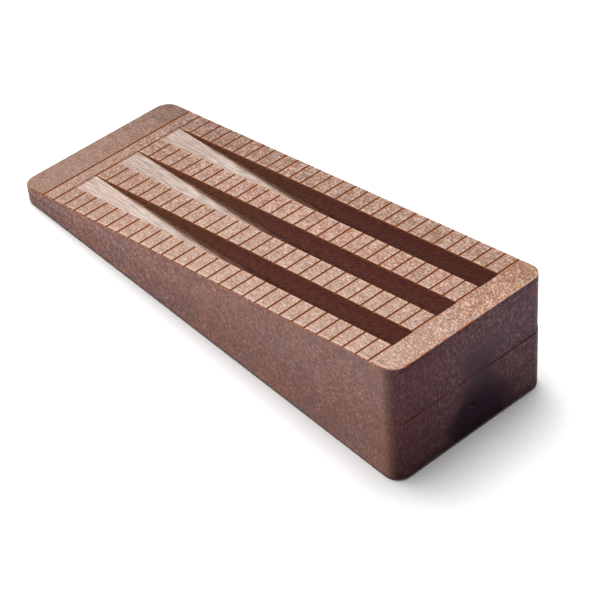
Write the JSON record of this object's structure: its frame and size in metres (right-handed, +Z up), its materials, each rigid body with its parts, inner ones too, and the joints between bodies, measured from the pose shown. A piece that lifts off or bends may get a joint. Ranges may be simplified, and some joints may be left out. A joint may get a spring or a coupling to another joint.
{
  "type": "pick holder",
  "caption": "Free-standing wedge for a desk or amplifier top that holds guitar picks on edge in long slots of its grooved sloping deck.",
  "frame": {"origin": "middle of the overall box, at the level of the feet's lower faces", "axes": "+Z up, +X from the thin end to the thick end, +Y across the wedge to its far side"},
  "size_m": [0.1616, 0.06, 0.0402],
  "materials": {
    "moulding": "brown wood-flour plastic, sanded on the deck, satin as moulded on the sides and in the slots",
    "screw_steel": "bright zinc plate",
    "foot_rubber": "matt black"
  },
  "bodies": {
    "root": {"upper_shell": "moulding", "lower_shell": "moulding", "screw_thin_near": "screw_steel", "screw_thin_far": "screw_steel", "screw_thick_near": "screw_steel", "screw_thick_far": "screw_steel", "foot_thin_near": "foot_rubber", "foot_thin_far": "foot_rubber", "foot_thick_near": "foot_rubber", "foot_thick_far": "foot_rubber"}
  },
  "joints": []
}
